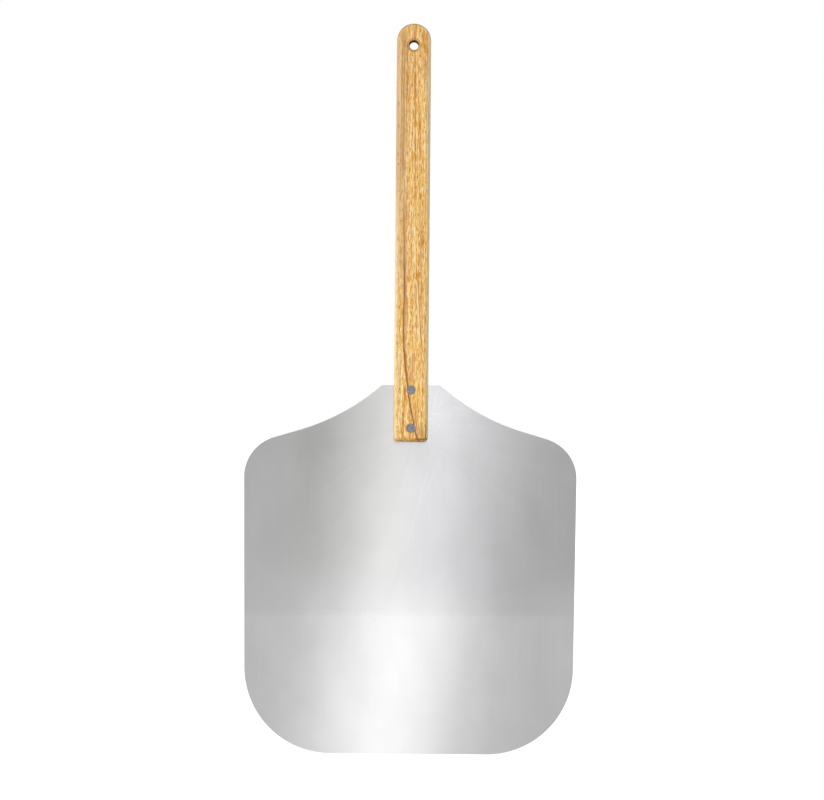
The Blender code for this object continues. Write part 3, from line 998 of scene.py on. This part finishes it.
def make_aluminium():
    material, nodes, shader = new_material("rolled_aluminium")
    place = nodes.object_place()
    x, _, z = nodes.split(place)
    carrying = nodes.math("LESS_THAN", nodes.normal()[1], -0.5)
    # The thinned front is whiter, and the sheet above the crease whitens towards it.
    nearing = nodes.smooth(z, CREASE_Z + 65.0 * MM, CREASE_Z - 5.0 * MM, 0.0, 0.68)
    ground = nodes.smooth(z, CREASE_Z + 18.0 * MM, CREASE_Z - 6.0 * MM)
    whiteness = nodes.product(carrying, nodes.math("MAXIMUM", nearing, ground))
    base = nodes.mix(whiteness, SHEET_COLOUR, GROUND_COLOUR)

    lines = nodes.noise(place, (1100.0, 300.0, 8.0), detail=4.0, roughness=0.65)
    fine = nodes.noise(place, (1500.0, 1500.0, 1500.0), detail=3.0, roughness=0.7)
    tone = rolled_tone(nodes, place, lines, fine)
    tone = nodes.math("ADD", tone, wiped_rays(nodes, x, z))
    tone = marks_and_painted_reflections(nodes, tone, x, z)
    tone = nodes.math("MULTIPLY_ADD", dull_specks(nodes, place, z), -0.10, tone)
    # A faint darker line along the crease of the carrying face is painted shade.
    crease_shade = nodes.line(nodes.math("SUBTRACT", z, CREASE_Z + 0.2 * MM), 0.7 * MM)
    tone = nodes.math("MULTIPLY_ADD", nodes.product(crease_shade, carrying), -0.03, tone)
    base = nodes.mix(1.0, base, nodes.add("ShaderNodeCombineXYZ", (tone, tone, tone)), blend="MULTIPLY")

    # Above the crease the sheet is a little warmer on the left of the middle, and cooler on the right.
    warm = nodes.product(
        nodes.band(x, -112.0 * MM, -5.0 * MM, 26.0 * MM),
        nodes.smooth(z, CREASE_Z + 20.0 * MM, CREASE_Z + 70.0 * MM),
    )
    cool = nodes.product(
        nodes.band(x, -16.0 * MM, 110.0 * MM, 30.0 * MM),
        nodes.smooth(z, CREASE_Z + 4.0 * MM, CREASE_Z + 24.0 * MM),
    )
    base = nodes.mix(warm, base, (1.0, 0.995, 0.976, 1.0), blend="MULTIPLY")
    base = nodes.mix(cool, base, (0.979, 0.981, 1.0, 1.0), blend="MULTIPLY")
    nodes.put(shader.inputs["Base Color"], base)

    shader.inputs["Metallic"].default_value = 1.0
    shader.inputs["Anisotropic"].default_value = 0.8
    nodes.put(shader.inputs["Roughness"], nodes.smooth(lines, 0.3, 0.7, 0.275, 0.295))
    tangent = nodes.add("ShaderNodeTangent", direction_type="UV_MAP", uv_map="rolling")
    nodes.put(shader.inputs["Tangent"], tangent)
    swell = nodes.noise(place, (16.0, 16.0, 10.0), detail=1.0)
    height = nodes.math("MULTIPLY_ADD", swell, 12.0, nodes.product(fine, 0.1))
    nodes.put(shader.inputs["Normal"], nodes.bump(height, 1.0, 0.002 * MM))
    return material


# ---------------------------------------------------------------- rivet metal


def make_rivet_metal():
    material, nodes, shader = new_material("dull_rivet_aluminium")
    place = nodes.object_place()
    across, _, up = nodes.split(nodes.add("ShaderNodeTexCoord", output=0))
    from_middle = nodes.distance(nodes.math("SUBTRACT", across, 0.5), nodes.math("SUBTRACT", up, 0.5))
    mottle = nodes.noise(place, (620.0, 620.0, 620.0), detail=3.0, roughness=0.62)
    base = nodes.ramp(mottle, [
        (0.36, (134, 137, 146)),
        (0.50, (166, 165, 169)),
        (0.64, (202, 194, 188)),
    ])
    # The bluish tint round the rim is a painted highlight on the rounded edge.
    base = nodes.tinted(base, (160, 166, 184), nodes.smooth(from_middle, 0.30, 0.46), 0.5)
    nodes.put(shader.inputs["Base Color"], base)
    shader.inputs["Metallic"].default_value = 1.0
    nodes.put(shader.inputs["Roughness"], nodes.smooth(mottle, 0.3, 0.7, 0.42, 0.58))
    nodes.put(shader.inputs["Normal"], nodes.bump(mottle, 0.4, 0.05 * MM))
    return material


# ---------------------------------------------------------------- stage


def make_camera():
    camera = bpy.data.cameras.new("camera")
    camera.lens = CAMERA_LENS_MM
    camera.sensor_width = SENSOR_WIDTH_MM
    camera.clip_end = CAMERA_REACH
    item = new_object("camera", camera)
    item.location = (CAMERA_X, -CAMERA_DISTANCE, CAMERA_Z)
    level = Matrix.Rotation(pi / 2, 3, "X")
    item.rotation_euler = (level @ Matrix.Rotation(CAMERA_ROLL, 3, "Z")).to_euler()
    bpy.context.scene.camera = item


def make_floor():
    """A pale floor, left out of the metal's reflections and of the light that falls on the wood."""
    mesh = bpy.data.meshes.new("floor")
    with edited(mesh) as shape:
        bmesh.ops.create_grid(shape, x_segments=1, y_segments=1, size=FLOOR_HALF_SIZE)
    floor = new_object("floor", mesh)
    floor.location.z = cad_low.z - FLOOR_DROP
    material, _, shader = new_material("pale_floor")
    shader.inputs["Base Color"].default_value = (0.85, 0.85, 0.85, 1.0)
    shader.inputs["Roughness"].default_value = 0.9
    shader.inputs["Emission Color"].default_value = WHITE
    shader.inputs["Emission Strength"].default_value = FLOOR_GLOW
    mesh.materials.append(material)
    floor.visible_glossy = False
    floor.visible_diffuse = False


def make_world():
    """A white room to the eye, whose light falls mostly from the upper left and from behind."""
    world = bpy.data.worlds.new("studio")
    world.use_nodes = True
    bpy.context.scene.world = world
    world.node_tree.nodes.clear()
    nodes = Nodes(world.node_tree)
    right, away, up = nodes.split(nodes.add("ShaderNodeTexCoord", output=0))
    strength = nodes.math("MULTIPLY_ADD", right, WORLD_RIGHT, WORLD_STRENGTH)
    strength = nodes.math("MULTIPLY_ADD", up, WORLD_UP, strength)
    strength = nodes.math("MULTIPLY_ADD", nodes.smooth(away, 0.0, 1.0), WORLD_BEHIND, strength)
    seen = nodes.add("ShaderNodeBackground", {"Color": WHITE, "Strength": 1.0})
    cast = nodes.add("ShaderNodeBackground", {"Color": WHITE, "Strength": strength})
    mixed = nodes.add("ShaderNodeMixShader", (nodes.add("ShaderNodeLightPath"), cast, seen))
    nodes.add("ShaderNodeOutputWorld", (mixed,), output=None)


def softbox(name, place, target, width, height, watts, tilt=0.0):
    """A rectangular soft light, itself out of the camera's sight."""
    light = bpy.data.lights.new(name, "AREA")
    light.shape = "RECTANGLE"
    light.size = width
    light.size_y = height
    light.energy = watts
    item = new_object(name, light)
    item.location = place
    direction = Vector(target) - Vector(place)
    aim = direction.to_track_quat("-Z", "Y").to_matrix()
    item.rotation_euler = (aim @ Matrix.Rotation(tilt, 3, "Z")).to_euler()
    item.visible_camera = False
    return item


def strip_light(name, place, target, width, watts, tilt=0.0):
    return softbox(name, place, target, width, STRIP_HEIGHT, watts, tilt)


def make_lights():
    heart = (0.0, 0.0, LIGHT_Z)
    # The front strip leans with the rolling direction, and its sheen with it.
    place = (FRONT_STRIP_X, -MIDDLE_STRIP_DISTANCE, LIGHT_Z)
    target = (FRONT_STRIP_X, 0.0, LIGHT_Z)
    strip_light("front_strip", place, target, MIDDLE_STRIP_WIDTH, MIDDLE_STRIP_WATTS, -ROLLING_LEAN)
    place = (0.0, MIDDLE_STRIP_DISTANCE, LIGHT_Z)
    strip_light("back_strip", place, heart, MIDDLE_STRIP_WIDTH, MIDDLE_STRIP_WATTS)
    # Each corner has a light that the metal doesn't mirror, and behind it a weaker one that it does.
    for depth, front in (("front", -1), ("back", 1)):
        for hand, side in (("left", -1), ("right", 1)):
            name = depth + "_" + hand
            place = (side * CORNER_DISTANCE, front * CORNER_DISTANCE, LIGHT_Z)
            watts = CORNER_WATTS[hand] - SHEEN_WATTS
            strip_light(name, place, heart, CORNER_STRIP_WIDTH, watts).visible_glossy = False
            place = (side * SHEEN_DISTANCE, front * SHEEN_DISTANCE, LIGHT_Z)
            strip_light(name + "_sheen", place, heart, CORNER_STRIP_WIDTH, SHEEN_WATTS)
    softbox("left_key", KEY_PLACE, heart, KEY_SIZE, KEY_SIZE, KEY_WATTS).visible_glossy = False


def main():
    bpy.context.scene.view_settings.view_transform = "Standard"
    make_camera()
    make_world()
    make_floor()
    make_lights()

    blade = make_blade()
    blade.data.materials.append(make_aluminium())
    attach(blade, "root")
    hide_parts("blade")

    handle = make_handle()
    handle.data.materials.append(make_wood())
    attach(handle, "root")
    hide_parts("handle")

    rivet_metal = make_rivet_metal()
    for place, z in rivet_places().items():
        for piece, node in make_rivet(place, z):
            piece.data.materials.append(rivet_metal)
            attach(piece, "root")
            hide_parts(node)

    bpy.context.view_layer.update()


main()
